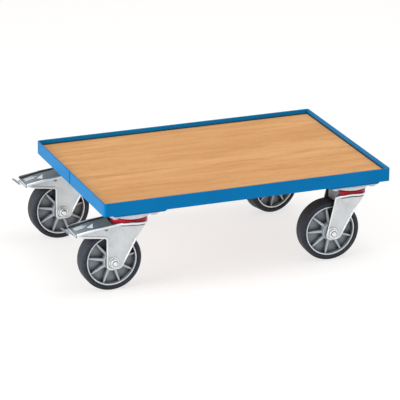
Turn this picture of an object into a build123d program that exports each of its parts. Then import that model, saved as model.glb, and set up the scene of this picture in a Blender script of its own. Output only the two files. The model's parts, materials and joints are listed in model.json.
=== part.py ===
from build123d import *
import os

# Crate dolly: a frame of steel angle with an inlaid board, on four swivel casters, two of them with brakes.
# Millimetres. The floor is Z = 0, the length runs along X, and the braked casters stand at the -X end.

# Deck: outside length and width, and the floor to the top of the rim
deck_length = 610
deck_width = 410
rim_top = 195

# Steel angle of the frame, with the groove of a weld in the middle of the left end
rail_leg = 27
rail_gauge = 3
rail_corner_radius = 5
rail_edge = 0.8
seam_width = 0.8
seam_depth = 0.4

# Board laid in the frame
board_thickness = 14
board_gap = 1.5
board_edge = 0.8

# Swivel axes from the deck's centre, and the axle's distance behind each axis
swivel_x = 235
swivel_y = 154
trail = 42

# How far the casters are swivelled and the braked wheels are turned at rest, in degrees
front_left_swivel = 0
front_right_swivel = -2
rear_left_swivel = 0
rear_right_swivel = 15
braked_wheel_turn = 10

# Corner plates under the frame
corner_plate_length = 110
corner_plate_width = 103
corner_plate_gauge = 4
corner_plate_shift = 6
corner_plate_setback = 2
corner_plate_chamfer = 4

# Caster's top plate and the screws that hold it
plate_length = 105
plate_width = 85
plate_gauge = 4
plate_chamfer = 7
screw_spacing_x = 80
screw_spacing_y = 60
screw_flats = 13
screw_head_height = 5.3

# Swivel head: radii, and heights above the floor
cup_radius = 42
cup_draft = 1.5
cup_bottom = 152.5
cap_radius = 36
cap_top_radius = 33.6
kingpin_radius = 7
kingpin_flats = 19
kingpin_head_height = 6.5

# Fork of pressed steel: width over the legs, and the crown that flares out to hold the dust cap
fork_width = 54
fork_gauge = 3
crown_top = 136
crown_bottom = 127.5
crown_radius = 39.2
crown_start_radius = 26
crown_start = 104
plain_drum_top = 152
braked_drum_top = 138.5
drum_radius = 38.5
rolled_width = 4.6
rolled_rise = 0.9
rolled_limit_x = -38

# Side outlines of the forks, from the swivel axis: X to the right, Z up
leg_bottom = 47.5
heel_radius = 9
toe = (-26, leg_bottom)
toe_radius = 12
leg_front = (26, 142)
arch = (-8, 145.5)
arch_radius = 45
plain_heel = (-57, leg_bottom)
plain_shoulder = (-36, 137.5)
braked_heel = (-57, leg_bottom)
wing_root = (-57, 114)
wing_root_radius = 5
wing_under = (-105, 120.5)
wing_tip_low = (-119, 127)
wing_tip_high = (-118, 130.5)
wing_ridge = (-78, 137.5)
wing_shoulder = (-44, 141)

# Wheel: (radius, distance from the middle) along the tyre's shoulder, and (width, height) of the ribs
wheel_radius = 62.5
tyre_shoulder = [(57, 18.25), (wheel_radius, 11.2)]
rim_radius = 52
rim_width = 31
rim_edge = 2.8
wheel_web = 6
hub_radius = 18.5
rib_count = 9
rib_at_hub = (6, 32)
rib_at_rim = (2.8, 25)

# Axle
axle_radius = 5
axle_flats = 16
axle_head_height = 6.4
axle_nut_height = 8

# Brake pedal: its pin and the middle of its sheet in side view, from the head to the toe lip
pin_x = -57
pin_z = 131.5
pin_radius = 3
pedal_reach = 135
pedal_gauge = 3
pedal_width = 44.6
pedal_head = (-41.5, 138)
pedal_bend = (-76, 133.2)
pedal_fold = (-117, 124.3)
lip_start = (-118.5, 122.6)
lip_low = (-126, 123.8)
lip_top = (-134.2, 129.2)
lip_corner_x = -120
lip_slant = 19
pedal_bend_radius = 100
lip_radius = 6
ear_width = 8
ear_drop = 7
ear_end_x = -84

# Brake shoe, and how far the pedal tilts in degrees
shoe_front_x = -62
shoe_back_x = -84
shoe_bottom = 109
shoe_width = 28
pedal_travel = 12

# Gaps: round a turning pin, between pieces that pass each other, and under the pressed shoe
running_gap = 0.05
clear_gap = 0.4
shoe_gap = 0.45

# Heights and lengths that follow from the above
rail_bottom = rim_top - rail_leg
board_bottom = rail_bottom + rail_gauge
caster_height = rail_bottom - corner_plate_gauge
plate_bottom = caster_height - plate_gauge
fork_half = fork_width / 2
fork_inner = fork_half - fork_gauge
pedal_half = pedal_width / 2
beyond = 3 * pedal_reach
# The whole object stands centred over the origin although the pedals reach past the deck at one end
pedal_tip = Vector(-pedal_reach, -pedal_half).rotate(Axis.Z, rear_left_swivel)
deck_center_x = (swivel_x - pedal_tip.X - deck_length / 2) / 2


def write(name, shape):
    """One file for each piece, moved so that the object is centred over the origin."""
    export_step(Pos(deck_center_x, 0, 0) * shape, f"parts/{name}.step")


def outline(points, radii):
    """Flat face inside the points, each corner rounded by its own radius."""
    return make_face(FilletPolyline(*points, radius=radii, close=True))


def polygon(points):
    """Flat face inside the points, with sharp corners."""
    return make_face(Polyline(*points, close=True))


def upright(face, half_width):
    """Solid with this outline in side view (X to the right, Z up), as thick on both sides of Y = 0."""
    return extrude(Plane.XZ * face, amount=half_width, both=True)


def turned(*points):
    """Solid turned about the upright axis from (radius, height) points."""
    return revolve(Plane.XZ * polygon(points), Axis.Z)


def hexagon(across_flats):
    """Six-sided face of a screw head or nut, with flats towards +X and -X."""
    return RegularPolygon(across_flats / 2, 6, major_radius=False, rotation=30)


def bar_along_y(radius, low, high):
    """Round bar along Y, from low to high."""
    return Pos(0, (low + high) / 2, 0) * Rot(90, 0, 0) * Cylinder(radius, high - low)


def hexagon_along_y(low, high):
    """Six-sided head or nut on the axle, from low to high along Y."""
    return Pos(0, high, 0) * extrude(Plane.XZ * hexagon(axle_flats), amount=high - low)


def frame_rails():
    """Frame of steel angle with eased edges, cut along its mitres into four rails."""
    inset = 2 * rail_gauge
    outer = RectangleRounded(deck_length, deck_width, rail_corner_radius)
    inner = RectangleRounded(deck_length - inset, deck_width - inset, rail_corner_radius - rail_gauge)
    opening = Rectangle(deck_length - 2 * rail_leg, deck_width - 2 * rail_leg)
    frame = extrude(outer - inner, amount=rail_leg)
    frame = chamfer(frame.edges().group_by(Axis.Z)[-1], rail_edge)
    frame += extrude(inner - opening, amount=rail_gauge)
    frame -= Pos(-deck_length / 2, 0, rail_leg / 2) * Box(2 * seam_depth, seam_width, 2 * rail_leg)
    frame = Pos(0, 0, rail_bottom) * frame
    half_length = deck_length / 2
    half_width = deck_width / 2
    ridge = half_length - half_width
    front = [(-half_length, -half_width), (half_length, -half_width), (ridge, 0), (-ridge, 0)]
    left = [(-half_length, -half_width), (-ridge, 0), (-half_length, half_width)]
    wedges = {
        "rail_front": front,
        "rail_back": [(x, -y) for x, y in front],
        "rail_left": left,
        "rail_right": [(-x, y) for x, y in left],
    }
    for name, corners in wedges.items():
        yield name, frame & extrude(polygon(corners), amount=2 * rim_top)


def deck_board():
    """Board with eased top edges, resting on the inner legs of the rails."""
    inset = 2 * (rail_gauge + board_gap)
    board = extrude(Rectangle(deck_length - inset, deck_width - inset), amount=board_thickness)
    board = chamfer(board.edges().group_by(Axis.Z)[-1], board_edge)
    return Pos(0, 0, board_bottom) * board


def corner_plate(side_x, side_y):
    """Plate welded under a corner, drawn from the swivel axis, with the frame's corner on the given sides."""
    blank = chamfer(Rectangle(corner_plate_length, corner_plate_width).vertices(), corner_plate_chamfer)
    middle_y = deck_width / 2 - corner_plate_setback - corner_plate_width / 2 - swivel_y
    place = Pos(-side_x * corner_plate_shift, side_y * middle_y, caster_height)
    return place * extrude(blank, amount=corner_plate_gauge)


def screw_heads():
    """Hexagon heads of the four screws under a top plate."""
    head = Pos(0, 0, plate_bottom - screw_head_height) * extrude(hexagon(screw_flats), amount=screw_head_height)
    return Compound(children=[place * head for place in GridLocations(screw_spacing_x, screw_spacing_y, 2, 2)])


def top_plate():
    """Plate with cut corners, its middle pressed down into a cup."""
    blank = chamfer(Rectangle(plate_length, plate_width).vertices(), plate_chamfer)
    plate = Pos(0, 0, plate_bottom) * extrude(blank, amount=plate_gauge)
    return plate + turned(
        (0, cup_bottom),
        (cup_radius - cup_draft, cup_bottom),
        (cup_radius, plate_bottom),
        (0, plate_bottom),
    )


def kingpin():
    """Bolt on which the fork swivels, with its head under the crown."""
    head_top = crown_bottom - clear_gap
    shank_top = crown_top + clear_gap
    head = Pos(0, 0, head_top - kingpin_head_height) * extrude(hexagon(kingpin_flats), amount=kingpin_head_height)
    return head + Pos(0, 0, (head_top + shank_top) / 2) * Cylinder(kingpin_radius, shank_top - head_top)


def dust_cap():
    """Closed cap over the ball races, closing in a little towards the top plate."""
    bottom = crown_top + clear_gap
    return turned((0, bottom), (cap_radius, bottom), (cap_top_radius, cup_bottom), (0, cup_bottom))


def crown(section):
    """Flared bell of the crown, cut to the fork's side outline."""
    bell = turned(
        (0, crown_start),
        (crown_start_radius, crown_start),
        (crown_radius, crown_top),
        (crown_radius, arch[1]),
        (0, arch[1]),
    )
    return bell & upright(section, crown_radius)


def drum(top):
    """Round back of the crown between the legs, up to a height."""
    rear = Pos(-beyond / 2, 0, 0) * Box(beyond, 2 * fork_inner, beyond)
    return rear & turned((0, crown_bottom), (drum_radius, crown_bottom), (drum_radius, top), (0, top))


def rolled_edge(section):
    """Raised band along the back of the outline and round its wing."""
    behind = Pos(rolled_limit_x - beyond / 2, beyond / 4) * Rectangle(beyond, beyond)
    band = (section - offset(section, amount=-rolled_width)) & behind
    return upright(band, fork_half + rolled_rise)


def fork(points, radii, drum_top, rolled=False):
    """Pressed fork: two legs, the flared crown with its drum, and the holes for kingpin and axle."""
    section = outline([leg_front, toe] + points + [arch], [0, toe_radius] + radii + [arch_radius])
    body = upright(section, fork_half) + crown(section)
    if rolled:
        body += rolled_edge(section)
    between = Box(beyond, 2 * fork_inner, beyond)
    body -= Pos(0, 0, crown_bottom - beyond / 2) * between
    body -= Pos(-beyond / 2, 0, 0) * between
    body += drum(drum_top)
    body -= Pos(0, 0, crown_top + beyond / 2) * Cylinder(cap_radius + clear_gap, beyond)
    body -= Cylinder(kingpin_radius + running_gap, beyond)
    return body - Pos(-trail, 0, wheel_radius) * bar_along_y(axle_radius, -beyond, beyond)


def plain_fork():
    """Fork without a brake."""
    return fork([plain_heel, plain_shoulder], [heel_radius, 0], plain_drum_top)


def braked_fork():
    """Fork whose wings flank the pedal, with rolled edges."""
    wing = [wing_under, wing_tip_low, wing_tip_high, wing_ridge, wing_shoulder]
    points = [braked_heel, wing_root] + wing
    radii = [heel_radius, wing_root_radius] + [0] * len(wing)
    return fork(points, radii, braked_drum_top, rolled=True)


def pedal():
    """Pressed pedal: a bent plate with a toe lip that widens to its inner end, and two ears that hang on the pin."""
    line = FilletPolyline(
        *[pedal_head, pedal_bend, pedal_fold, lip_start, lip_low, lip_top],
        radius=[pedal_bend_radius, 0, 0, lip_radius],
    )
    ear = polygon(
        [
            pedal_head,
            (pin_x + ear_width, pin_z),
            (pin_x + ear_width / 2, pin_z - ear_drop),
            (pin_x - ear_width / 2, pin_z - ear_drop),
            (ear_end_x, pedal_bend[1] - pedal_gauge),
            pedal_bend,
        ]
    )
    ears = upright(ear, pedal_half) - upright(ear, pedal_half - pedal_gauge)
    body = upright(trace(line, pedal_gauge), pedal_half) + ears
    body -= Pos(lip_corner_x, -pedal_half, 0) * Rot(0, 0, lip_slant) * Pos(-beyond / 2, 0, 0) * Box(beyond, beyond, beyond)
    return body - Pos(pin_x, 0, pin_z) * bar_along_y(pin_radius + running_gap, -beyond, beyond)


def brake_shoe():
    """Block under the pedal, hollowed so that the pressed shoe follows the tyre."""
    block = polygon(
        [
            (shoe_front_x, pedal_bend[1] + pedal_gauge / 2),
            pedal_bend,
            (shoe_back_x, pedal_bend[1] - pedal_gauge / 2),
            (shoe_back_x, shoe_bottom),
            (shoe_front_x, shoe_bottom),
        ]
    )
    lift = Pos(pin_x, 0, pin_z) * Rot(0, pedal_travel, 0) * Pos(-pin_x, 0, -pin_z)
    tyre_space = Pos(-trail, 0, wheel_radius) * bar_along_y(wheel_radius + shoe_gap, -beyond, beyond)
    return upright(block, shoe_width / 2) - pedal() - lift * tyre_space


def pedal_pin():
    """Pin between the wings, through the pedal's ears."""
    return Pos(pin_x, 0, pin_z) * bar_along_y(pin_radius, -fork_inner, fork_inner)


def wheel_center():
    """Moulded wheel: hub, web, rim, and ribs that grow narrower and lower towards the rim."""
    hub_half = fork_inner - 2 * clear_gap
    section = [
        (axle_radius + running_gap, hub_half),
        (hub_radius, hub_half),
        (hub_radius, wheel_web / 2),
        (rim_radius - rim_edge, wheel_web / 2),
        (rim_radius - rim_edge, rim_width / 2),
        (rim_radius, rim_width / 2),
    ]
    section += [(radius, -y) for radius, y in reversed(section)]
    wheel = revolve(polygon(section), Axis.Y)
    hub_end = Plane(origin=(hub_radius / 2, 0, 0), x_dir=(0, 0, 1), z_dir=(1, 0, 0))
    rim_end = Plane(origin=(rim_radius - rim_edge / 2, 0, 0), x_dir=(0, 0, 1), z_dir=(1, 0, 0))
    rib = loft([hub_end * Rectangle(*rib_at_hub), rim_end * Rectangle(*rib_at_rim)])
    for number in range(rib_count):
        wheel += Rot(0, 180 + number * 360 / rib_count, 0) * rib
    return wheel


def tyre():
    """Tyre moulded on the rim, with sloped shoulders."""
    side = [(rim_radius, rim_width / 2)] + tyre_shoulder
    return revolve(polygon(side + [(radius, -y) for radius, y in reversed(side)]), Axis.Y)


def axle_bolt():
    """Bolt through legs and hub, with its head on the rear leg."""
    head = hexagon_along_y(fork_half, fork_half + axle_head_height)
    return head + bar_along_y(axle_radius, -fork_half, fork_half)


def axle_nut():
    """Closed nut on the front leg."""
    return hexagon_along_y(-fork_half - axle_nut_height, -fork_half)


if __name__ == "__main__":
    os.makedirs("parts", exist_ok=True)
    for name, shape in frame_rails():
        write(name, shape)
    write("deck_board", deck_board())

    to_axle = Pos(-trail, 0, wheel_radius)
    head = {
        "screws": screw_heads(),
        "top_plate": top_plate(),
        "kingpin": kingpin(),
        "dust_cap": dust_cap(),
    }
    rolling = {
        "axle_bolt": to_axle * axle_bolt(),
        "axle_nut": to_axle * axle_nut(),
        "wheel_center": to_axle * wheel_center(),
        "tyre": to_axle * tyre(),
    }
    plain = {"fork": plain_fork()}
    braked = {
        "fork": braked_fork(),
        "wheel_center": to_axle * Rot(0, braked_wheel_turn, 0) * wheel_center(),
        "brake_pedal": pedal(),
        "brake_shoe": brake_shoe(),
        "pedal_pin": pedal_pin(),
    }
    corners = {
        "front_left": (-1, -1, front_left_swivel, braked),
        "front_right": (1, -1, front_right_swivel, plain),
        "rear_left": (-1, 1, rear_left_swivel, braked),
        "rear_right": (1, 1, rear_right_swivel, plain),
    }
    for corner, (side_x, side_y, swivel, own) in corners.items():
        place = Pos(side_x * swivel_x, side_y * swivel_y, 0)
        for name, shape in {"corner_plate": corner_plate(side_x, side_y), **head}.items():
            write(f"{corner}_{name}", place * shape)
        for name, shape in {**rolling, **own}.items():
            write(f"{corner}_{name}", place * Rot(0, 0, swivel) * shape)
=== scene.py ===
# %% [markdown]
# # A crate dolly, dressed in Blender
# A crate dolly is a shallow frame of steel angle with a board laid in it, on four swivel casters.
# Its exact solids come from CAD and are loaded here as a fixed frame, which is never moved or reshaped.
# The cells below add what a maker sees up close: finishes, rounded rubber, rolled sheet edges, nuts,
# screws and welds.

# %% Load the frame
import json
import math

import bmesh
import bpy
from mathutils import Matrix, Quaternion, Vector


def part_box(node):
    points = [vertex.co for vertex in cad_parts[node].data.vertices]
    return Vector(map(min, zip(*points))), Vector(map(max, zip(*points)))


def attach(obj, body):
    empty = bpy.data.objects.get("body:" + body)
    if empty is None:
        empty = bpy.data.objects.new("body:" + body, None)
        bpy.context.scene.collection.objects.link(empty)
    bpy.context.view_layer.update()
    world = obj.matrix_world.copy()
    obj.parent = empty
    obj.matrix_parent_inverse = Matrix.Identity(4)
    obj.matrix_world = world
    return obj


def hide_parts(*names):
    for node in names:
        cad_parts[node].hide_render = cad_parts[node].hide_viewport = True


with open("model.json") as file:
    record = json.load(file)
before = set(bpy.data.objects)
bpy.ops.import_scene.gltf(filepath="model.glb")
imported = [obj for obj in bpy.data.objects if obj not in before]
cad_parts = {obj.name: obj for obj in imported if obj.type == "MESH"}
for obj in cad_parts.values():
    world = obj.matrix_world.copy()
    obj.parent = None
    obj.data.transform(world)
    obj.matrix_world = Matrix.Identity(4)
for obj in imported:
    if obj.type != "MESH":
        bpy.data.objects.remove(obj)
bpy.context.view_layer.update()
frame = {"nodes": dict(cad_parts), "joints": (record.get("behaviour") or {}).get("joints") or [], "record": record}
mm = 0.001
corners = ["front_left", "front_right", "rear_left", "rear_right"]
braked_corners = ["front_left", "rear_left"]
joint_at = {joint["name"]: Vector(joint["pos_m"]) for joint in frame["joints"]}
joint_axis = {joint["name"]: Vector(joint["axis"]) for joint in frame["joints"]}

# %% [markdown]
# ## Camera
# The photograph was taken with a long lens from about five metres, so parallel edges hardly converge.
# A camera can be aimed with a constraint, but a fixed place and direction are easier to read and to repeat.
# The direction is turned into a rotation by asking for the camera's -Z axis to follow it while Y stays up.

# %% Camera
camera_place = Vector((-1.97123, -4.96164, 2.044))
camera_direction = Vector((0.34819, 0.87274, -0.34218))
camera_tilt = Quaternion((0, 0, 1), math.radians(0.45))
camera = bpy.data.objects.new("camera", bpy.data.cameras.new("camera"))
camera.data.sensor_width = 36
camera.data.lens = 250.57
camera.location = camera_place
camera.rotation_euler = (camera_direction.to_track_quat("-Z", "Y") @ camera_tilt).to_euler()
bpy.context.scene.collection.objects.link(camera)
bpy.context.scene.camera = camera
bpy.context.scene.view_settings.view_transform = "Standard"
print("camera at", tuple(round(value, 3) for value in camera.location))

# %% [markdown]
# ## Floor, surroundings and lamps
# A studio shows such a dolly on a white sweep, with large soft lamps.
# Making the floor white with strong lamps would bleach the object, so the floor gets its white another way:
# rays that come from the camera find a floor that glows a little and keeps a faint shadow,
# and rays that come by way of a reflection find an even white, so that bright metal mirrors a clean studio.
# All other rays find an ordinary pale floor, which throws light back up under the deck.

# %% Small helpers for node trees
def add(tree, kind, **settings):
    """New node; a setting is an input where the node has one of that name, and otherwise a property."""
    node = tree.nodes.new(kind)
    for name, value in settings.items():
        label = name.replace("_", " ").title()
        if label in node.inputs:
            node.inputs[label].default_value = value
        else:
            setattr(node, name, value)
    return node


def seen_directly(tree):
    """1 for rays from the camera, reflections and glass, 0 for all other rays."""
    path = add(tree, "ShaderNodeLightPath")
    first = add(tree, "ShaderNodeMath", operation="MAXIMUM")
    tree.links.new(path.outputs["Is Camera Ray"], first.inputs[0])
    tree.links.new(path.outputs["Is Glossy Ray"], first.inputs[1])
    second = add(tree, "ShaderNodeMath", operation="MAXIMUM")
    tree.links.new(first.outputs[0], second.inputs[0])
    tree.links.new(path.outputs["Is Transmission Ray"], second.inputs[1])
    return second.outputs[0]


print("helpers for node trees ready")

# %% Floor
floor_size = 12
floor_shape = bmesh.new()
bmesh.ops.create_grid(floor_shape, x_segments=4, y_segments=4, size=floor_size)
floor_mesh = bpy.data.meshes.new("floor")
floor_shape.to_mesh(floor_mesh)
floor_shape.free()
floor = bpy.data.objects.new("floor", floor_mesh)
bpy.context.scene.collection.objects.link(floor)

floor_paint = bpy.data.materials.new("floor_paint")
floor_paint.use_nodes = True
tree = floor_paint.node_tree
tree.nodes.clear()
shadow_keeper = add(tree, "ShaderNodeBsdfDiffuse", color=(0.4, 0.38, 0.365, 1))
glow = add(tree, "ShaderNodeEmission", color=(1, 1, 1, 1), strength=0.7)
white_sweep = add(tree, "ShaderNodeAddShader")
tree.links.new(shadow_keeper.outputs[0], white_sweep.inputs[0])
tree.links.new(glow.outputs[0], white_sweep.inputs[1])
mirrored_floor = add(tree, "ShaderNodeEmission", color=(1, 1, 1, 1), strength=0.95)
seen_floor = add(tree, "ShaderNodeMixShader")
tree.links.new(add(tree, "ShaderNodeLightPath").outputs["Is Glossy Ray"], seen_floor.inputs[0])
tree.links.new(white_sweep.outputs[0], seen_floor.inputs[1])
tree.links.new(mirrored_floor.outputs[0], seen_floor.inputs[2])
plain_floor = add(tree, "ShaderNodeBsdfDiffuse", color=(0.78, 0.77, 0.76, 1))
either = add(tree, "ShaderNodeMixShader")
tree.links.new(seen_directly(tree), either.inputs[0])
tree.links.new(plain_floor.outputs[0], either.inputs[1])
tree.links.new(seen_floor.outputs[0], either.inputs[2])
tree.links.new(either.outputs[0], add(tree, "ShaderNodeOutputMaterial").inputs["Surface"])
floor_mesh.materials.append(floor_paint)
print("floor:", 2 * floor_size, "m square")

# %% Surroundings
world = bpy.data.worlds.new("studio")
bpy.context.scene.world = world
world.use_nodes = True
tree = world.node_tree
tree.nodes.clear()
room_light = add(tree, "ShaderNodeBackground", color=(0.98, 0.99, 1, 1), strength=0.5)
white_room = add(tree, "ShaderNodeBackground", color=(1, 1, 1, 1), strength=1)
either = add(tree, "ShaderNodeMixShader")
tree.links.new(seen_directly(tree), either.inputs[0])
tree.links.new(room_light.outputs[0], either.inputs[1])
tree.links.new(white_room.outputs[0], either.inputs[2])
tree.links.new(either.outputs[0], add(tree, "ShaderNodeOutputWorld").inputs["Surface"])
print("surroundings: white to the eye, half as bright as light")

# %% Lamps
deck_center = (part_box("deck_board")[0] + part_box("deck_board")[1]) / 2


def soft_lamp(name, direction, distance, size, watts):
    """Square lamp that looks at the deck from the given direction."""
    lamp = bpy.data.objects.new(name, bpy.data.lights.new(name, "AREA"))
    lamp.data.size = size
    lamp.data.energy = watts
    away = Vector(direction).normalized()
    lamp.location = deck_center + distance * away
    lamp.rotation_euler = (-away).to_track_quat("-Z", "Y").to_euler()
    bpy.context.scene.collection.objects.link(lamp)


soft_lamp("key_lamp", direction=(-1, -0.15, 0.32), distance=4, size=2.6, watts=88)
soft_lamp("top_lamp", direction=(0.3, -0.1, 1), distance=2.8, size=1.8, watts=31)

# %% [markdown]
# ## Finishes
# Each finish is a procedural material: noise at the real surface's scale drives colour, roughness and bump.
# Painted pictures would also do, but they need unwrapped surfaces and files, and a node tree needs neither.
# All noise reads the object's own coordinates, in metres, so the pattern stays with the piece when it moves.

# %% New finishes and noise
finishes = {}


def finish(slot, **settings):
    """New material for a slot, with its shader's constant values set; returns the tree and the shader."""
    finishes[slot] = bpy.data.materials.new(slot)
    finishes[slot].use_nodes = True
    tree = finishes[slot].node_tree
    shader = tree.nodes["Principled BSDF"]
    for name, value in settings.items():
        shader.inputs[name.replace("_", " ").title().replace("Ior", "IOR")].default_value = value
    return tree, shader


def stretched(tree, scale):
    """The object's coordinates, multiplied by a scale for each direction."""
    place = add(tree, "ShaderNodeTexCoord")
    mapping = add(tree, "ShaderNodeMapping")
    mapping.inputs["Scale"].default_value = scale
    tree.links.new(place.outputs["Object"], mapping.inputs["Vector"])
    return mapping.outputs["Vector"]


def noise(tree, scale, detail=2, roughness=0.5, distortion=0):
    """Noise with that many blotches to the metre in each direction, from 0 to 1."""
    grain = {"detail": detail, "roughness": roughness, "distortion": distortion}
    texture = add(tree, "ShaderNodeTexNoise", scale=1, **grain)
    tree.links.new(stretched(tree, scale), texture.inputs["Vector"])
    return texture.outputs["Fac"]


print("brushes for noise ready")


# %% Brushes for colours and values
def ramp(tree, value, *stops):
    """Colours at (place, colour) stops, blended in between."""
    node = add(tree, "ShaderNodeValToRGB")
    marks = node.color_ramp.elements
    while len(marks) < len(stops):
        marks.new(0.5)
    for mark, (place, colour) in zip(marks, stops):
        mark.position = place
        mark.color = (*colour, 1)
    tree.links.new(value, node.inputs["Fac"])
    return node.outputs["Color"]


def span(tree, value, low, high):
    """A value from 0 to 1 carried over to low to high."""
    node = add(tree, "ShaderNodeMapRange")
    node.inputs["To Min"].default_value = low
    node.inputs["To Max"].default_value = high
    tree.links.new(value, node.inputs["Value"])
    return node.outputs["Result"]


def blend(tree, share, under, over):
    """Second colour over the first one; each may be a colour or a socket."""
    node = add(tree, "ShaderNodeMix", data_type="RGBA")
    for value, socket in ((share, node.inputs[0]), (under, node.inputs[6]), (over, node.inputs[7])):
        if isinstance(value, bpy.types.NodeSocket):
            tree.links.new(value, socket)
        elif isinstance(value, tuple):
            socket.default_value = (*value, 1)
        else:
            socket.default_value = value
    return node.outputs[2]


print("brushes for colours ready")


# %% Brushes for relief, edges and corners
edge_start = 0.02
edge_full = 0.25


def relief(tree, shader, height, depth, strength):
    """Bump of that depth in metres, added to what the shader's normal already has."""
    node = add(tree, "ShaderNodeBump", distance=depth, strength=strength)
    tree.links.new(height, node.inputs["Height"])
    if shader.inputs["Normal"].is_linked:
        tree.links.new(shader.inputs["Normal"].links[0].from_socket, node.inputs["Normal"])
    tree.links.new(node.outputs["Normal"], shader.inputs["Normal"])


def edges(tree, width):
    """1 along sharp edges of the piece, 0 on its faces: where a rounded normal leaves the true one."""
    rounded = add(tree, "ShaderNodeBevel", samples=6)
    rounded.inputs["Radius"].default_value = width
    true = add(tree, "ShaderNodeNewGeometry")
    dot = add(tree, "ShaderNodeVectorMath", operation="DOT_PRODUCT")
    tree.links.new(rounded.outputs["Normal"], dot.inputs[0])
    tree.links.new(true.outputs["Normal"], dot.inputs[1])
    node = add(tree, "ShaderNodeMapRange")
    node.inputs["From Min"].default_value = 1 - edge_start
    node.inputs["From Max"].default_value = 1 - edge_full
    tree.links.new(dot.outputs["Value"], node.inputs["Value"])
    return node.outputs["Result"]


def occlusion_shade(tree, reach, open_at=0.85, tight_at=0.35):
    """1 in tight corners and near other parts, 0 on open faces, judged within that reach in metres; masks painted
    shade.
    """
    shade = add(tree, "ShaderNodeAmbientOcclusion", samples=6, distance=reach)
    node = add(tree, "ShaderNodeMapRange")
    node.inputs["From Min"].default_value = open_at
    node.inputs["From Max"].default_value = tight_at
    tree.links.new(shade.outputs["AO"], node.inputs["Value"])
    return node.outputs["Result"]


print("brushes for relief, edges and corners ready")

# %% [markdown]
# ### Blue powder coat
# The frame and its corner plates are coated with powder that melts into a thick, even skin.
# Close up it has a fine orange-peel relief, and a paler blue along its sharp edges paints their highlight.
# Faces that look up are mixed with a dull grey blue, a painted shade along the tops of the rails,
# and corners, such as the joint between the rails and the board, are darkened by painted shade.
# The frame's closing weld has a deeper blue of its own.

# %% Blue powder coat
tree, shader = finish("blue_paint", specular_ior_level=0.06, sheen_weight=0.15, sheen_roughness=0.4)
cloud = noise(tree, (7, 7, 7), detail=3)
coat = ramp(tree, cloud, (0.3, (0.0005, 0.218, 0.56)), (0.7, (0.001, 0.25, 0.62)))
# Paler blue along sharp edges: a painted highlight.
coat = blend(tree, edges(tree, 0.0012), coat, (0.012, 0.3, 0.7))
# Faces that look up get a dull grey blue: painted shade on the tops of the rails.
facing = add(tree, "ShaderNodeSeparateXYZ")
tree.links.new(add(tree, "ShaderNodeNewGeometry").outputs["Normal"], facing.inputs[0])
top_shade = ramp(tree, facing.outputs["Z"], (0.6, (0, 0, 0)), (0.9, (0.85, 0.85, 0.85)))
coat = blend(tree, top_shade, coat, (0.03, 0.1, 0.16))
# Darker in corners and joints within 5 mm: painted shade.
coat = blend(tree, occlusion_shade(tree, 0.005), coat, (0.01, 0.02, 0.03))
tree.links.new(coat, shader.inputs["Base Color"])
tree.links.new(span(tree, noise(tree, (60, 60, 60)), 0.34, 0.46), shader.inputs["Roughness"])
relief(tree, shader, noise(tree, (520, 520, 520), detail=1), 0.0003, 0.12)
print("made", finishes["blue_paint"].name)

# %% Deep blue of the closing weld
tree, shader = finish("deep_blue", specular_ior_level=0.04)
cloud = noise(tree, (90, 90, 90), detail=3)
coat = ramp(tree, cloud, (0.3, (0.0003, 0.095, 0.28)), (0.7, (0.0005, 0.125, 0.34)))
tree.links.new(coat, shader.inputs["Base Color"])
tree.links.new(span(tree, noise(tree, (60, 60, 60)), 0.34, 0.46), shader.inputs["Roughness"])
relief(tree, shader, noise(tree, (300, 300, 60), detail=2), 0.0004, 0.3)
print("made", finishes["deep_blue"].name)

# %% [markdown]
# ### Beech board
# The board is a chipboard with a beech face: straight pale grain along its length, wide soft bands,
# fine pores and the short darker flecks that tell beech from other woods.
# Noise that is squeezed across the grain and drawn out along it gives all four, each at its own scale.

# %% Beech board
tree, shader = finish("beech", specular_ior_level=0.15)
bands = noise(tree, (1.6, 13, 13), detail=3, roughness=0.55, distortion=0.3)
dark_wood = (0.705, 0.353, 0.13)
middle_wood = (0.777, 0.408, 0.16)
pale_wood = (0.838, 0.461, 0.191)
wood = ramp(tree, bands, (0.36, dark_wood), (0.5, middle_wood), (0.64, pale_wood))
streaks = noise(tree, (6, 52, 52), detail=4, roughness=0.6)
wood = blend(tree, ramp(tree, streaks, (0.42, (0, 0, 0)), (0.68, (1, 1, 1))), wood, (0.645, 0.312, 0.115))
pores = ramp(tree, noise(tree, (22, 900, 900), detail=1), (0.56, (0, 0, 0)), (0.66, (1, 1, 1)))
flecks = ramp(tree, noise(tree, (75, 620, 620), detail=0), (0.66, (0, 0, 0)), (0.72, (1, 1, 1)))
wood = blend(tree, span(tree, pores, 0, 0.16), wood, (0.45, 0.21, 0.08))
wood = blend(tree, span(tree, flecks, 0, 0.3), wood, (0.42, 0.19, 0.075))
# Darker in corners, such as where the board meets the rails: painted shade.
wood = blend(tree, occlusion_shade(tree, 0.005), wood, (0.06, 0.05, 0.05))
tree.links.new(wood, shader.inputs["Base Color"])
tree.links.new(span(tree, streaks, 0.5, 0.64), shader.inputs["Roughness"])
relief(tree, shader, noise(tree, (12, 700, 700), detail=2), 0.00012, 0.2)
print("made", finishes["beech"].name)
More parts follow.
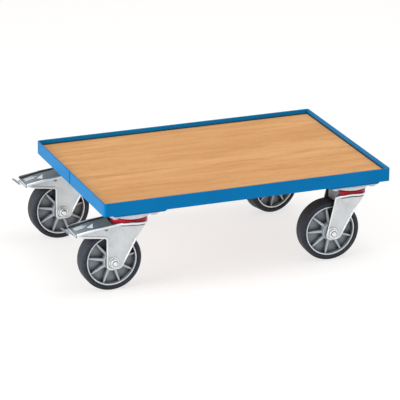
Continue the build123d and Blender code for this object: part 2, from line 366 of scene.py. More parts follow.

# %% [markdown]
# ### Bright zinc
# Forks, plates, nuts and screws are pressed or turned from steel and plated with bright zinc.
# The plating is a metal with a soft gloss: clouds of duller and brighter crystals, and faint lines from
# the rolled sheet.
# A metal shows mostly what is around it, so roughness and a slight relief matter more here than colour.
# Sharp edges are paler, a painted highlight, and corners and places near other parts are darker, a painted
# shade. Two more finishes paint light: a paler zinc, the highlight on rolled edges, and a dark zinc, the
# shade between the legs of a fork.

# %% Bright zinc
tree, shader = finish("zinc", metallic=1.0)
cloud = noise(tree, (38, 38, 38), detail=4, roughness=0.6)
dull_crystal = (0.58, 0.61, 0.63)
plain_crystal = (0.68, 0.7, 0.715)
bright_crystal = (0.74, 0.75, 0.755)
plating = ramp(tree, cloud, (0.3, dull_crystal), (0.52, plain_crystal), (0.72, bright_crystal))
# Paler along sharp edges: a painted highlight.
plating = blend(tree, edges(tree, 0.0012), plating, (0.86, 0.87, 0.88))
# Darker near other parts, within 30 mm: painted shade.
plating = blend(tree, occlusion_shade(tree, 0.03), plating, (0.3, 0.31, 0.32))
# Darker in tight corners: painted shade.
plating = blend(tree, occlusion_shade(tree, 0.004), plating, (0.2, 0.2, 0.2))
tree.links.new(plating, shader.inputs["Base Color"])
tree.links.new(span(tree, noise(tree, (90, 90, 14), detail=3), 0.3, 0.48), shader.inputs["Roughness"])
relief(tree, shader, noise(tree, (900, 900, 45), detail=2), 0.0001, 0.18)
relief(tree, shader, noise(tree, (55, 55, 55), detail=1), 0.0004, 0.12)
print("made", finishes["zinc"].name)

# %% Highlit and shaded zinc
# A paler, smoother zinc that paints the highlight on rolled edges, rim lines, nut washers and toe lips.
tree, shader = finish("highlit_zinc", metallic=0.9)
cloud = noise(tree, (120, 120, 120), detail=3)
plating = ramp(tree, cloud, (0.3, (0.84, 0.865, 0.89)), (0.7, (0.95, 0.965, 0.98)))
tree.links.new(plating, shader.inputs["Base Color"])
tree.links.new(span(tree, noise(tree, (200, 200, 200)), 0.3, 0.45), shader.inputs["Roughness"])
relief(tree, shader, noise(tree, (700, 700, 700), detail=2), 0.0001, 0.15)

# A dark zinc that paints the shade between the legs of a fork and in the groove of a nut.
tree, shader = finish("shaded_zinc", metallic=1.0)
cloud = noise(tree, (60, 60, 60), detail=4, roughness=0.6)
plating = ramp(tree, cloud, (0.3, (0.15, 0.16, 0.165)), (0.7, (0.27, 0.28, 0.285)))
plating = blend(tree, occlusion_shade(tree, 0.006), plating, (0.05, 0.05, 0.05))
tree.links.new(plating, shader.inputs["Base Color"])
tree.links.new(span(tree, noise(tree, (150, 150, 150), detail=3), 0.4, 0.6), shader.inputs["Roughness"])
relief(tree, shader, noise(tree, (700, 700, 700), detail=2), 0.0001, 0.2)
print("made", finishes["highlit_zinc"].name, finishes["shaded_zinc"].name)

# %% [markdown]
# ### Moulded plastics
# The dust caps are red polyethylene and the wheel centres grey polyamide.
# Both come from a mould, so they are smooth with a very fine grain, and are paler along their edges,
# a painted highlight, while the pockets between the ribs of a wheel, most of all those beside the fork,
# are darkened by painted shade. The crests of the ribs get a pale grey of their own: a painted highlight.

# %% Red plastic
tree, shader = finish("red_plastic", specular_ior_level=0.4, subsurface_weight=0.08, subsurface_scale=0.002)
tone = ramp(tree, noise(tree, (30, 30, 30)), (0.3, (0.58, 0.002, 0.026)), (0.7, (0.68, 0.004, 0.036)))
# Paler red along the edges: a painted highlight.
tree.links.new(blend(tree, edges(tree, 0.0008), tone, (0.85, 0.03, 0.07)), shader.inputs["Base Color"])
tree.links.new(span(tree, noise(tree, (120, 120, 120)), 0.28, 0.4), shader.inputs["Roughness"])
relief(tree, shader, noise(tree, (1500, 1500, 1500)), 0.0001, 0.1)
print("made", finishes["red_plastic"].name)

# %% Grey plastic
tree, shader = finish("grey_plastic", specular_ior_level=0.4)
tone = ramp(tree, noise(tree, (45, 45, 45), detail=3), (0.3, (0.43, 0.48, 0.52)), (0.7, (0.51, 0.56, 0.6)))
# Paler along sharp edges, such as the rim of the wheel centre: a painted highlight.
tone = blend(tree, edges(tree, 0.0035), tone, (0.95, 0.97, 1))
# Darker in the pockets between the ribs: painted shade.
tone = blend(tree, occlusion_shade(tree, 0.01), tone, (0.18, 0.21, 0.235))
# Near black where the fork and its leg crowd in most: painted shadow.
tone = blend(tree, occlusion_shade(tree, 0.035, 0.36, 0.2), tone, (0.05, 0.057, 0.065))
tree.links.new(tone, shader.inputs["Base Color"])
tree.links.new(span(tree, noise(tree, (150, 150, 150)), 0.4, 0.55), shader.inputs["Roughness"])
relief(tree, shader, noise(tree, (1300, 1300, 1300)), 0.0001, 0.25)

# A paler grey for the crests of the ribs: a painted highlight.
tree, shader = finish("highlit_plastic", specular_ior_level=0.4)
tone = ramp(tree, noise(tree, (45, 45, 45), detail=3), (0.3, (0.68, 0.73, 0.77)), (0.7, (0.77, 0.81, 0.84)))
tree.links.new(tone, shader.inputs["Base Color"])
tree.links.new(span(tree, noise(tree, (150, 150, 150)), 0.4, 0.55), shader.inputs["Roughness"])
relief(tree, shader, noise(tree, (1300, 1300, 1300)), 0.0001, 0.25)
print("made", finishes["grey_plastic"].name, finishes["highlit_plastic"].name)

# %% [markdown]
# ### Rubber and the dark steel of the pedal
# The tyres are anthracite rubber, dull and slightly dusty; the brake shoe is a harder black rubber.
# The pedal is a steel plate with a dark plating, satin rather than mirror bright, with traces of soles
# and marks printed on it in white, which soles have thinned in places.

# %% Rubber
tree, shader = finish("tyre", specular_ior_level=0.24)
cloud = noise(tree, (28, 28, 28), detail=4)
tone = ramp(tree, cloud, (0.3, (0.034, 0.04, 0.052)), (0.7, (0.048, 0.056, 0.071)))
dust = ramp(tree, noise(tree, (160, 160, 160), detail=3), (0.55, (0, 0, 0)), (0.75, (1, 1, 1)))
tone = blend(tree, span(tree, dust, 0, 0.25), tone, (0.14, 0.14, 0.15))
# Darker near other parts, under the wing and by the floor: painted shade and shadow.
tone = blend(tree, occlusion_shade(tree, 0.022), tone, (0.008, 0.008, 0.009))
tree.links.new(tone, shader.inputs["Base Color"])
tree.links.new(span(tree, noise(tree, (90, 90, 90)), 0.5, 0.7), shader.inputs["Roughness"])
relief(tree, shader, noise(tree, (1100, 1100, 1100), detail=2), 0.0002, 0.25)

tree, shader = finish("shoe_rubber", specular_ior_level=0.3)
cloud = noise(tree, (60, 60, 60), detail=3)
tone = ramp(tree, cloud, (0.3, (0.013, 0.013, 0.014)), (0.7, (0.03, 0.03, 0.031)))
tree.links.new(tone, shader.inputs["Base Color"])
tree.links.new(span(tree, noise(tree, (140, 140, 140)), 0.55, 0.75), shader.inputs["Roughness"])
relief(tree, shader, noise(tree, (900, 900, 900), detail=2), 0.0002, 0.3)
print("made", finishes["tyre"].name, finishes["shoe_rubber"].name)

# %% Pedal steel and print
tree, shader = finish("pedal_steel", metallic=0.3, specular_ior_level=0.2)
cloud = noise(tree, (40, 40, 40), detail=4)
tone = ramp(tree, cloud, (0.3, (0.17, 0.215, 0.235)), (0.7, (0.235, 0.285, 0.305)))
# Paler along the edges, such as the toe edge of the plate: a painted highlight.
tone = blend(tree, edges(tree, 0.0012), tone, (0.5, 0.53, 0.55))
tree.links.new(tone, shader.inputs["Base Color"])
tree.links.new(span(tree, noise(tree, (160, 40, 160), detail=3), 0.36, 0.54), shader.inputs["Roughness"])
relief(tree, shader, noise(tree, (60, 900, 60), detail=2), 0.0001, 0.15)

tree, shader = finish("white_print", specular_ior_level=0.3)
cloud = noise(tree, (420, 420, 420), detail=4)
worn = ramp(tree, cloud, (0.3, (0.7, 0.72, 0.73)), (0.42, (0.96, 0.97, 0.98)))
tree.links.new(worn, shader.inputs["Base Color"])
tree.links.new(span(tree, noise(tree, (300, 300, 300)), 0.4, 0.6), shader.inputs["Roughness"])
relief(tree, shader, noise(tree, (800, 800, 800)), 0.0001, 0.2)
print("made", finishes["pedal_steel"].name, finishes["white_print"].name)

# %% [markdown]
# ## Finishes on the solids
# The record that comes with the frame says which finish each solid takes, so one loop dresses them all.
# A mesh keeps its finishes in a list, and its faces take the first one unless they say otherwise.

# %% Dress the solids
for row in frame["record"]["subparts"]:
    mesh = frame["nodes"][row["node"]].data
    mesh.materials.clear()
    mesh.materials.append(finishes[row["material_slot"]])

# %% [markdown]
# ## Softened edges
# No real edge is a perfect line: pressed sheet and mouldings have small radii that catch the light.
# The solids stay as they are, and modifiers soften them: weld joins the triangles of neighbouring faces,
# a planar dissolve removes the lines across flat faces, and a bevel rounds every edge sharper than a limit.

# %% Soften the solids
def soften(node, width, steps=2, limit=32):
    """Rounds the edges of a solid by modifiers, with smooth shading in between."""
    piece = frame["nodes"][node]
    for name in ("custom_normal", "sharp_edge", "sharp_face"):
        if name in piece.data.attributes:
            piece.data.attributes.remove(piece.data.attributes[name])
    weld = piece.modifiers.new("weld", "WELD")
    weld.merge_threshold = 1e-6
    flat = piece.modifiers.new("flat", "DECIMATE")
    flat.decimate_type = "DISSOLVE"
    flat.angle_limit = math.radians(0.5)
    bevel = piece.modifiers.new("bevel", "BEVEL")
    bevel.width = width * mm
    bevel.segments = steps
    bevel.limit_method = "ANGLE"
    bevel.angle_limit = math.radians(limit)
    bevel.harden_normals = True


caster_radii = {
    "fork": 0.9,
    "wheel_center": 0.6,
    "top_plate": 0.6,
    "corner_plate": 0.6,
    "kingpin": 0.5,
    "axle_bolt": 0.6,
}
brake_radii = {"brake_pedal": 0.7, "brake_shoe": 0.8}
for group, radii in ((corners, caster_radii), (braked_corners, brake_radii)):
    for corner in group:
        for name, radius in radii.items():
            soften(f"{corner}_{name}", radius)
    print("softened", len(group) * len(radii), "solids")

# %% [markdown]
# ## Tyres
# A caster tyre is vulcanised on its rim: a slightly crowned tread, round shoulders, and a fine groove at
# the rim. Such a shape is turned: an outline of (radius, width) points is swept round the axle and its ends
# are joined. A lathe modifier would do the same, but writing the rows of points keeps the outline in
# millimetres and in sight.

# %% Turned shapes
def arc(center, radius, start, end, steps):
    """Points on an arc round (radius, along), between two angles in degrees."""
    angles = [math.radians(start + (end - start) * step / steps) for step in range(steps + 1)]
    return [(center[0] + radius * math.cos(angle), center[1] + radius * math.sin(angle)) for angle in angles]


def turn(shape, outline, steps, axis, center=(0, 0, 0)):
    """Adds a turned shape: (radius, along) points in mm, or (radius, along, flats) where it is six-sided."""
    rows = []
    for step in range(steps):
        angle = math.tau * step / steps
        row = []
        for radius, along, *flats in outline:
            if flats:
                lean = (angle + math.pi / 6) % (math.pi / 3) - math.pi / 6
                radius = min(radius, flats[0] / 2 / math.cos(lean))
            across = (radius * math.cos(angle), radius * math.sin(angle))
            point = (across[0], along, across[1]) if axis == "Y" else (across[0], across[1], along)
            row.append(shape.verts.new((Vector(center) + Vector(point)) * mm))
        rows.append(row)
    spans = [(near, near + 1) for near in range(len(outline) - 1)]
    if outline[0][0] > 0:
        spans.append((len(outline) - 1, 0))
    for row, following in zip(rows, rows[1:] + rows[:1]):
        for near, far in spans:
            shape.faces.new((row[near], row[far], following[far], following[near]))


print("lathe ready")


# %% Pieces and their places
def mesh_of(shape, name, sharp=40):
    """Mesh of a finished shape, shaded smooth except along edges sharper than that angle."""
    bmesh.ops.remove_doubles(shape, verts=shape.verts, dist=1e-7)
    bmesh.ops.recalc_face_normals(shape, faces=shape.faces)
    mesh = bpy.data.meshes.new(name)
    shape.to_mesh(mesh)
    shape.free()
    mesh.shade_smooth()
    mesh.set_sharp_from_angle(angle=math.radians(sharp))
    return mesh


def new_piece(name, shape, place, body, slot, look=None):
    """Object for a shape, put in its place, with a finish and a body that it moves with."""
    mesh = mesh_of(shape, name)
    mesh.materials.append(finishes[look or slot])
    piece = bpy.data.objects.new(name, mesh)
    bpy.context.scene.collection.objects.link(piece)
    piece.matrix_world = place
    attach(piece, body)
    return piece


def head_place(corner):
    """Where a swivel axis meets the floor."""
    axis = joint_at[f"{corner}_swivel"]
    return Matrix.Translation((axis.x, axis.y, 0))


def fork_place(corner):
    """The same, turned as the fork stands: its axle tells which way that is."""
    axle = joint_axis[f"{corner}_roll"]
    return head_place(corner) @ Matrix.Rotation(math.atan2(-axle.x, axle.y), 4, "Z")


for corner in corners:
    print(corner, "swivel axis at", [round(value, 3) for value in head_place(corner).translation])

# %% Tyres
wheel_radius = 62.5
wheel_steps = 128
tyre_half = 18.25
shoulder_radius = 7
rim_radius = 52
trail = 42
groove = [(rim_radius, 14.6), (rim_radius + 0.1, 15.6), (52.6, 15.7), (53, 15.3)]
groove += [(53.5, 15.8), (54, 16.9), (54.7, 17.7)]
round_edge = arc((55.6, tyre_half - shoulder_radius), shoulder_radius, 92, 14, 12)
tread = [(wheel_radius - 0.12, 8), (wheel_radius, 3.5), (wheel_radius, 0.5)]
tyre_side = groove + round_edge + tread
tyre_outline = tyre_side + [(radius, -along) for radius, along in reversed(tyre_side)]


def wheel_place(corner):
    """Middle of a wheel: behind the swivel axis by the trail, and as high as the wheel's radius."""
    return fork_place(corner) @ Matrix.Translation(Vector((-trail, 0, wheel_radius)) * mm)


for corner in corners:
    shape = bmesh.new()
    turn(shape, tyre_outline, wheel_steps, "Y")
    tyre = new_piece(f"{corner}_round_tyre", shape, wheel_place(corner), f"{corner}_wheel", "tyre")
    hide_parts(f"{corner}_tyre")
print("tyres:", round(2 * wheel_radius), "mm across,", round(2 * tyre_half, 1), "mm wide")

# %% [markdown]
# ## Rims and ribs of the wheel centres
# A thin pale ring on each side, at the edge of the rim, paints the highlight that the rim's edge catches.
# The ring is turned like the tyre. The pale crests of the ribs, another painted highlight, need no new
# shape: a mesh can hold several finishes, and each face has the index of the one it takes.
# The planar dissolve is told to keep the line between two finishes, or it would merge faces across it.

# %% Rim lines, a painted highlight
rim_highlight = [(49.8, 15.3), (50.1, 15.9), (51.2, 15.9), (51.5, 15.3)]
# The thin rings take the paler zinc: a painted highlight.
for corner in corners:
    shape = bmesh.new()
    for side in (-1, 1):
        turn(shape, [(radius, side * along) for radius, along in rim_highlight], wheel_steps, "Y")
    body = f"{corner}_wheel"
    new_piece(f"{corner}_rim_highlights", shape, wheel_place(corner), body, "grey_plastic", "highlit_zinc")
print("rim lines:", 2 * len(corners))

# %% Pale crests of the ribs, a painted highlight
crest_low = 12
crest_radii = (19, 46)
crest_facing = 0.8
for corner in corners:
    center = frame["nodes"][f"{corner}_wheel_center"]
    # Faces on the crests take the paler grey: a painted highlight.
    center.data.materials.append(finishes["highlit_plastic"])
    to_wheel = wheel_place(corner).inverted() @ center.matrix_world
    crests = 0
    for face in center.data.polygons:
        middle = to_wheel @ face.center / mm
        turned = to_wheel.to_3x3() @ face.normal
        on_rib = crest_radii[0] < math.hypot(middle.x, middle.z) < crest_radii[1]
        if on_rib and abs(middle.y) > crest_low and abs(turned.y) > crest_facing:
            face.material_index = 1
            crests += 1
    center.modifiers["flat"].delimit = {"NORMAL", "MATERIAL"}
    print(corner, "pale crest faces:", crests)

# %% [markdown]
# ## Dust caps
# Each red cap is a soft moulding: a narrow neck that tucks in under the top plate, then a bulge that keeps
# dirt out. The neck lies in shadow and the bulge catches the light, so the cap reads as a dark and a bright
# line. It is turned about the swivel axis.

# %% Dust caps
cap_outline = [(28, 136.5), (35.4, 136.5), (35.9, 137), (35.9, 146.2)] + arc((34.6, 147), 1.3, 0, 80, 5)
cap_outline += [(33.9, 148.6), (33.5, 149.2), (33.4, 151.6), (33.1, 152.4), (28, 152.4)]
cap_steps = 96
for corner in corners:
    shape = bmesh.new()
    turn(shape, cap_outline, cap_steps, "Z")
    cap = new_piece(f"{corner}_soft_cap", shape, head_place(corner), "frame", "red_plastic")
    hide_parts(f"{corner}_dust_cap")
print("caps:", max(point[0] for point in cap_outline) * 2, "mm across")

# %% [markdown]
# ## Nuts and screws
# The axle nut is a locking nut: a washer, six flats with turned-off corners, a round collar, and the bolt's
# end. Washer and collar take a paler zinc, a painted highlight; the flats keep their plating, and the
# groove round the thread takes a dark zinc, a painted shade. The caster screws have six flats over a flange.
# Both are turned shapes whose radius is cut by the flats.

# %% Nuts
nut_flats = 16
nut_steps = 72
washer = [(0, 27), (10.3, 27), (10.6, 27.4), (10.6, 28.4), (10.2, 28.7)]
six_sided = [(8.2, 28.7), (9.4, 29.2), (9.4, 33.2), (8.1, 34)]
collar = [(7, 34.1), (6.8, 35.6), (6.2, 36.1), (4.9, 36.1)]
bolt_end = [(4.7, 36), (4.7, 37.8), (4, 38.5), (0, 38.5)]
nut_outline = washer + [(*point, nut_flats) for point in six_sided] + collar + bolt_end
groove_radii = (4.6, 6.4)
groove_floor = 35.9
groove_facing = 0.6
flats_span = (28.8, 34)
for corner in corners:
    shape = bmesh.new()
    outline = [(radius, -along, *flats) for radius, along, *flats in nut_outline]
    turn(shape, outline, nut_steps, "Y", (-trail, 0, wheel_radius))
    body = f"{corner}_fork_body"
    nut = new_piece(f"{corner}_lock_nut", shape, fork_place(corner), body, "zinc", "highlit_zinc")
    # Groove: dark zinc, a painted shade; washer and collar: paler zinc, a painted highlight.
    nut.data.materials.append(finishes["shaded_zinc"])
    nut.data.materials.append(finishes["zinc"])
    for face in nut.data.polygons:
        along = abs(face.center.y) / mm
        reach = math.hypot(face.center.x / mm + trail, face.center.z / mm - wheel_radius)
        in_groove = along > groove_floor and groove_radii[0] < reach < groove_radii[1]
        if in_groove and abs(face.normal.y) > groove_facing:
            face.material_index = 1
        elif flats_span[0] < along < flats_span[1]:
            face.material_index = 2
    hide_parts(f"{corner}_axle_nut")
print("nuts:", len(corners))

# %% Screws
screw_flats = 13
screw_steps = 48
screw_x = 40
screw_y = 30
flange = [(0, 160), (8.2, 160), (8.4, 159.6), (7.6, 158.4)]
six_sided = [(6.9, 158.2), (7.4, 157.8), (7.4, 155.4), (6.5, 154.8)]
dimple = [(5.2, 154.7), (4.6, 155.1), (0, 155.2)]
screw_outline = flange + [(*point, screw_flats) for point in six_sided] + dimple
for corner in corners:
    shape = bmesh.new()
    for x in (-screw_x, screw_x):
        for y in (-screw_y, screw_y):
            turn(shape, screw_outline, screw_steps, "Z", (x, y, 0))
    screws = new_piece(f"{corner}_flange_screws", shape, head_place(corner), "frame", "zinc")
    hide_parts(f"{corner}_screws")
print("screws:", 4 * len(corners))

# %% [markdown]
# ## Rolled edges of the forks
# The edges of a pressed fork are rolled outwards, which stiffens the sheet and spares the fingers.
# They show as bright lines round the wings, the legs and the crown's rim, in a paler zinc: a painted highlight.
# Each is a half-round bead along a line on the fork's side: the line follows the outline, a little way in,
# and climbs the flared bell of the crown where that stands out further than the leg.
# Under the rim of the crown, where it stands out over the leg, a thin dark bead paints the shadow line.

# %% Lines in side view
def rounded(points, radii, steps=6):
    """Line through the points in side view, with an arc of the given radius at each inner one."""
    line = [Vector(points[0])]
    for before, corner, after, radius in zip(points, points[1:], points[2:], radii):
        corner = Vector(corner)
        back = (Vector(before) - corner).normalized()
        ahead = (Vector(after) - corner).normalized()
        half = back.angle(ahead) / 2
        center = corner + (back + ahead).normalized() * radius / math.sin(half)
        start = corner + back * radius / math.tan(half) - center
        end = corner + ahead * radius / math.tan(half) - center
        for step in range(steps + 1):
            share = step / steps
            ray = start * (1 - share) + end * share
            line.append(center + (ray.normalized() * radius if radius else ray))
    return line + [Vector(points[-1])]


def walk(line, step):
    """Points at even steps along a line, its ends included."""
    lengths = [0]
    for near, far in zip(line, line[1:]):
        lengths.append(lengths[-1] + (far - near).length)
    count = round(lengths[-1] / step)
    points = []
    for number in range(count + 1):
        want = lengths[-1] * number / count
        index = max(1, next(i for i, length in enumerate(lengths) if length >= want - 1e-6))
        part = lengths[index] - lengths[index - 1]
        share = (want - lengths[index - 1]) / part if part else 0
        points.append(line[index - 1].lerp(line[index], share))
    return points


def inset(line, depth):
    """The same line, moved to its left, which is into the sheet when the outline is walked anticlockwise."""
    moved = []
    for index, point in enumerate(line):
        ahead = (line[min(index + 1, len(line) - 1)] - line[max(index - 1, 0)]).normalized()
        moved.append(point + Vector((-ahead.y, ahead.x)) * depth)
    return moved


print("lines can be rounded, walked and moved inwards")

# %% Beads along a line
bead_end = 0.3
bead_sink = 0.2
ripple_turn = 2.3


def bead(shape, path, outward, width, rise, ripple=0, steps=6):
    """Adds a half-round bead along a path in mm; outward is the way the surface faces at each point."""
    rows = []
    last = len(path) - 1
    for index, (point, out) in enumerate(zip(path, outward)):
        ahead = (path[min(index + 1, last)] - path[max(index - 1, 0)]).normalized()
        across = ahead.cross(out).normalized()
        size = bead_end if index in (0, last) else 1 + ripple * math.sin(ripple_turn * index)
        row = []
        for step in range(steps + 1):
            angle = math.pi * step / steps
            offset = across * (width / 2 * math.cos(angle)) + out * (rise * math.sin(angle) - bead_sink)
            row.append(shape.verts.new((point + offset * size) * mm))
        rows.append(row)
    for row, following in zip(rows, rows[1:]):
        for near in range(steps + 1):
            far = (near + 1) % (steps + 1)
            shape.faces.new((row[near], row[far], following[far], following[near]))
    shape.faces.new(rows[0])
    shape.faces.new(rows[-1][::-1])


print("beads ready")

# %% Outline and side of a fork
crown_radius = 39.2
crown_top = 136
flare = 13.2 / 32
leg_front = (26, 142)
arch = (-8, 145.5)
toe = (-26, 47.5)
heel = (-57, 47.5)
wing_tip = (-119.2, 129.6)
drum_radius = 38.5
drum_top = 152
leg_outer = 27
wing_band = 0.8
band_start = -38


def on_fork(point, side, band):
    """Place on a fork's side, and the way it faces: leg, raised band or, where that is further out, bell."""
    x, z = point
    flat = leg_outer + (band if x < band_start else 0)
    bell = crown_radius - flare * max(0, crown_top - z)
    bulge = math.sqrt(max(0, bell * bell - x * x))
    if bulge <= flat:
        return Vector((x, side * flat, z)), Vector((0, side, 0))
    lean = -flare * bell if z < crown_top else 0
    return Vector((x, side * bulge, z)), Vector((x, side * bulge, lean)).normalized()


wing_top = rounded([leg_front, arch, (-44, 141), (-78, 137.5), (-117, 131), wing_tip], [45, 10, 60, 3])
under_points = [wing_tip, (-118, 126), (-105, 120.5), (-57, 114), heel, toe, leg_front]
wing_under = rounded(under_points, [3, 12, 5, 9, 12])
plain_shoulder = (-36, 137.5)
plain_top = rounded([leg_front, arch, plain_shoulder], [45])
plain_back = rounded([plain_shoulder, heel, toe, leg_front], [9, 12])
print("fork outlines:", [len(line) for line in (wing_top, wing_under, plain_top, plain_back)], "points")

# %% Rolled edges
edge_step = 2
wing_bead = (5, 1.5)
plain_bead = (4.4, 1.4)
leg_bead = (3, 1)
drum_bead = (4, 0.9)
drum_lip = drum_top - 2
drum_rays = [Vector((x, y, 0)) for x, y in arc((0, 0), 1, 142, 218, 30)]
drum_line = [ray * drum_radius + Vector((0, 0, drum_lip)) for ray in drum_rays]


def rolled(shape, line, band, width, rise):
    """Adds a bead along a line of the outline, on both sides of the fork."""
    for side in (-1, 1):
        spots = [on_fork(point, side, band) for point in inset(walk(line, edge_step), width / 2)]
        bead(shape, [spot[0] for spot in spots], [spot[1] for spot in spots], width, rise)


# The beads take the paler zinc, which paints their highlight.
for corner in corners:
    shape = bmesh.new()
    if corner in braked_corners:
        rolled(shape, wing_top, wing_band, *wing_bead)
        rolled(shape, wing_under, wing_band, *leg_bead)
    else:
        rolled(shape, plain_top, 0, *plain_bead)
        rolled(shape, plain_back, 0, *leg_bead)
        bead(shape, drum_line, drum_rays, *drum_bead)
    body = f"{corner}_fork_body"
    new_piece(f"{corner}_rolled_edges", shape, fork_place(corner), body, "zinc", "highlit_zinc")
print("rolled edges:", len(corners), "forks")

# %% Shadow lines under the crown's rim
shadow_line_step = 1.5
shadow_line_depth = 5.6
shadow_line_span = (-27, 23)
shadow_line_bead = (1.7, 0.8)
# A thin dark bead under the rim: a painted shadow.
for corner in corners:
    shape = bmesh.new()
    rim = walk(wing_top if corner in braked_corners else plain_top, shadow_line_step)
    below = [point for point in inset(rim, shadow_line_depth) if shadow_line_span[0] < point.x < shadow_line_span[1]]
    for side in (-1, 1):
        spots = [on_fork(point, side, 0) for point in below]
        bead(shape, [spot[0] for spot in spots], [spot[1] for spot in spots], *shadow_line_bead)
    body = f"{corner}_fork_body"
    new_piece(f"{corner}_crown_shadow_line", shape, fork_place(corner), body, "zinc", "shoe_rubber")
print("grease lines:", 2 * len(corners))

# %% [markdown]
# ## Inside of the forks
# Between the legs of a fork the plating lies in shade, and a dark zinc paints that shade.
# Noise could place it, but where it lies is known: on the faces between the legs.
# They take a second finish by their index, as the crests of the ribs do.

# %% Painted shade inside the forks
inner_half = 25.5
for corner in corners:
    fork = frame["nodes"][f"{corner}_fork"]
    # The faces between the legs take the dark zinc: painted shade.
    fork.data.materials.append(finishes["shaded_zinc"])
    to_fork = fork_place(corner).inverted() @ fork.matrix_world
    for face in fork.data.polygons:
        middle = to_fork @ face.center
        if middle.x < 0 and abs(middle.y) < inner_half * mm:
            face.material_index = 1
    fork.modifiers["flat"].delimit = {"NORMAL", "MATERIAL"}
print("dulled the inside of", len(corners), "forks")

# %% [markdown]
# ## Pedals
# Where the toe lip is level, its faces take the paler zinc, a painted highlight; its rising tip
# stays dark, and a dark bead in the fold between the plate and the lip paints the shadow there.
# The pin on which a pedal tilts ends in a dark oblong in each wing.
# On the plate is a mark in white: a plain arrowhead that points to the toe, and three bars.
# A print is a film, so it is a thin slab that lies on the plate.

# %% Thin slabs
def slab(shape, outline, lift):
    """Adds a flat slab: an outline in mm, and the lift from its lower to its upper face."""
    low = [shape.verts.new(Vector(point) * mm) for point in outline]
    high = [shape.verts.new((Vector(point) + Vector(lift)) * mm) for point in outline]
    shape.faces.new(low[::-1])
    shape.faces.new(high)
    for near in range(len(outline)):
        far = (near + 1) % len(outline)
        shape.faces.new((low[near], low[far], high[far], high[near]))


print("slabs ready")

# %% Bright toe lips
fold_x = -118.2
rise_x = -126.3
for corner in braked_corners:
    pedal = frame["nodes"][f"{corner}_brake_pedal"]
    # The level part of the lip takes the paler zinc: a painted highlight.
    pedal.data.materials.append(finishes["highlit_zinc"])
    to_fork = fork_place(corner).inverted() @ pedal.matrix_world
    for face in pedal.data.polygons:
        if rise_x * mm < (to_fork @ face.center).x < fold_x * mm:
            face.material_index = 1
    pedal.modifiers["flat"].delimit = {"NORMAL", "MATERIAL"}
print("toe lips rubbed bright:", len(braked_corners))

# %% Fold shadows
fold_shadow = [Vector((-119.2, y, 124.2)) for y in range(-24, 25, 4)]
fold_shadow_bead = (1.6, 0.6)
up = Vector((0, 0, 1))
# A thin dark bead in the fold: a painted shadow.
for corner in braked_corners:
    shape = bmesh.new()
    bead(shape, fold_shadow, [up] * len(fold_shadow), *fold_shadow_bead)
    body = f"{corner}_pedal"
    new_piece(f"{corner}_fold_shadow", shape, fork_place(corner), body, "pedal_steel", "shoe_rubber")
print("fold lines:", len(braked_corners))

# %% Pin ends
pin_x = -57
pin_z = 131.5
end_half = 1.8
end_radius = 1.6
end_rise = 0.5
end_start = leg_outer - 0.1
oblong = arc((pin_x + end_half, pin_z), end_radius, -90, 90, 8)
oblong += arc((pin_x - end_half, pin_z), end_radius, 90, 270, 8)
for corner in braked_corners:
    shape = bmesh.new()
    for side in (-1, 1):
        slab(shape, [(x, side * end_start, z) for x, z in oblong], (0, side * end_rise, 0))
    body = f"{corner}_fork_body"
    new_piece(f"{corner}_pin_ends", shape, fork_place(corner), body, "zinc", "pedal_steel")
print("pin ends:", 2 * len(braked_corners))

# %% Printed marks
fold = Vector((-117, 0, 124.3))
bend = Vector((-76, 0, 133.2))
along_plate = (bend - fold).normalized()
off_plate = along_plate.cross(Vector((0, 1, 0)))
plate_top = 1.5
film = 0.12
arrowhead = [(29, -1), (38.5, -12), (45.5, 9)]
bar_start = 6
bar_width = 2.5
bar_ends = {3: 26, 8: 32, 13: 26}
bars = []
for y, end in bar_ends.items():
    bars.append([(bar_start, y), (end, y), (end, y + bar_width), (bar_start, y + bar_width)])


def on_plate(along, y):
    """Place on top of a pedal's plate, that far from its fold and from its middle line."""
    return fold + along * along_plate + Vector((0, y, 0)) + plate_top * off_plate


for corner in braked_corners:
    shape = bmesh.new()
    for outline in [arrowhead] + bars:
        slab(shape, [on_plate(along, y) for along, y in outline], film * off_plate)
    body = f"{corner}_pedal"
    new_piece(f"{corner}_printed_mark", shape, fork_place(corner), body, "pedal_steel", "white_print")
print("marks:", 1 + len(bars), "shapes on each pedal")

# %% [markdown]
# ## Welds and board screws
# The frame's angle is mitred at the corners and closed by a flat weld in the middle of its left side.
# Seen from below, pan-head screws hold the board to the rails, and short welds hold the corner plates.
# A dark bead in the joint between the board and the rails paints the shadow in the gap there.
# A weld is a row of frozen ripples: the same bead as on the forks, with a size that swells and shrinks.

# %% Board screws
pan_outline = [(0, 168), (4.4, 168), (4.4, 167.6)] + arc((1.4, 167.4), 3, 0, -70, 5)
pan_outline += [(1.6, 165.4), (0.6, 166), (0, 166.1)]
pan_steps = 32
deck_x = deck_center.x / mm
deck_half_x = 305
deck_half_y = 205
rail_middle = 17
screw_line_x = deck_half_x - rail_middle
screw_line_y = deck_half_y - rail_middle
spots = [(x, side * screw_line_y) for x in (-120, 0, 120) for side in (-1, 1)]
spots += [(side * screw_line_x, y) for y in (-60, 60) for side in (-1, 1)]
shape = bmesh.new()
for x, y in spots:
    turn(shape, pan_outline, pan_steps, "Z", (deck_x + x, y, 0))
new_piece("board_screws", shape, Matrix(), "frame", "zinc")
print("board screws:", len(spots))

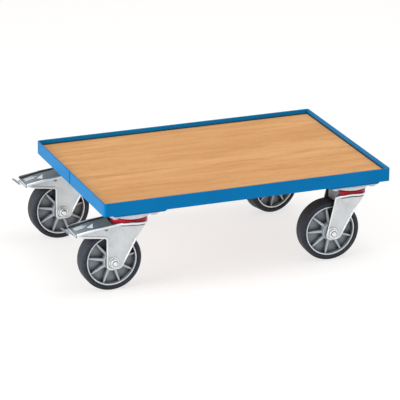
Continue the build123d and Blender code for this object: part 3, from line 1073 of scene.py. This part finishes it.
# %% Shadow in the joint round the board
low, high = (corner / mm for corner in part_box("deck_board"))
ring = [(low.x, low.y), (high.x, low.y), (high.x, high.y), (low.x, high.y)]
ring = [Vector((x, y, high.z)) for x, y in ring]
inwards = [(0, 1, 1), (-1, 0, 1), (0, -1, 1), (1, 0, 1)]
gap_shadow_steps = 30
gap_shadow_bead = (4.5, 1.1)
# A dark bead along the joint: a painted shadow.
shape = bmesh.new()
for start, end, inward in zip(ring, ring[1:] + ring[:1], inwards):
    side = [start.lerp(end, step / gap_shadow_steps) for step in range(gap_shadow_steps + 1)]
    bead(shape, side, [Vector(inward).normalized()] * len(side), *gap_shadow_bead)
new_piece("board_gap_shadow", shape, Matrix(), "frame", "beech", "shoe_rubber")
print("joint round a board of", round(high.x - low.x), "by", round(high.y - low.y), "mm")

# %% Closing weld
left_x = deck_x - deck_half_x
seam_half = 2.6
seam_low = 168.2
seam_high = 194.6
seam_rise = 0.12
seam = [(left_x, y, seam_low) for y in (-seam_half, seam_half)]
seam += [(left_x, y, seam_high) for y in (seam_half, -seam_half)]
shape = bmesh.new()
slab(shape, seam, (-seam_rise, 0, 0))
new_piece("closing_weld", shape, Matrix(), "frame", "blue_paint", "deep_blue")
print("closing weld at x =", round(left_x, 1))

# %% Corner welds
weld_z = 167.4
weld_reach = range(4, 24)
weld_bead = (5, 2.2, 0.12)
shape = bmesh.new()
for corner in corners:
    low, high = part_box(f"{corner}_corner_plate")
    inner_x = (high.x if corner.endswith("left") else low.x) / mm
    inner_y = (high.y if corner.startswith("front") else low.y) / mm
    way_x = 1 if corner.endswith("left") else -1
    way_y = 1 if corner.startswith("front") else -1
    frame_x = deck_x - way_x * deck_half_x
    frame_y = -way_y * deck_half_y
    across_rail = [Vector((inner_x, frame_y + way_y * reach, weld_z)) for reach in weld_reach]
    bead(shape, across_rail, [Vector((way_x, 0, -1)).normalized()] * len(across_rail), *weld_bead)
    across_rail = [Vector((frame_x + way_x * reach, inner_y, weld_z)) for reach in weld_reach]
    bead(shape, across_rail, [Vector((0, way_y, -1)).normalized()] * len(across_rail), *weld_bead)
new_piece("corner_welds", shape, Matrix(), "frame", "blue_paint")
print("welds:", 2 * len(corners))
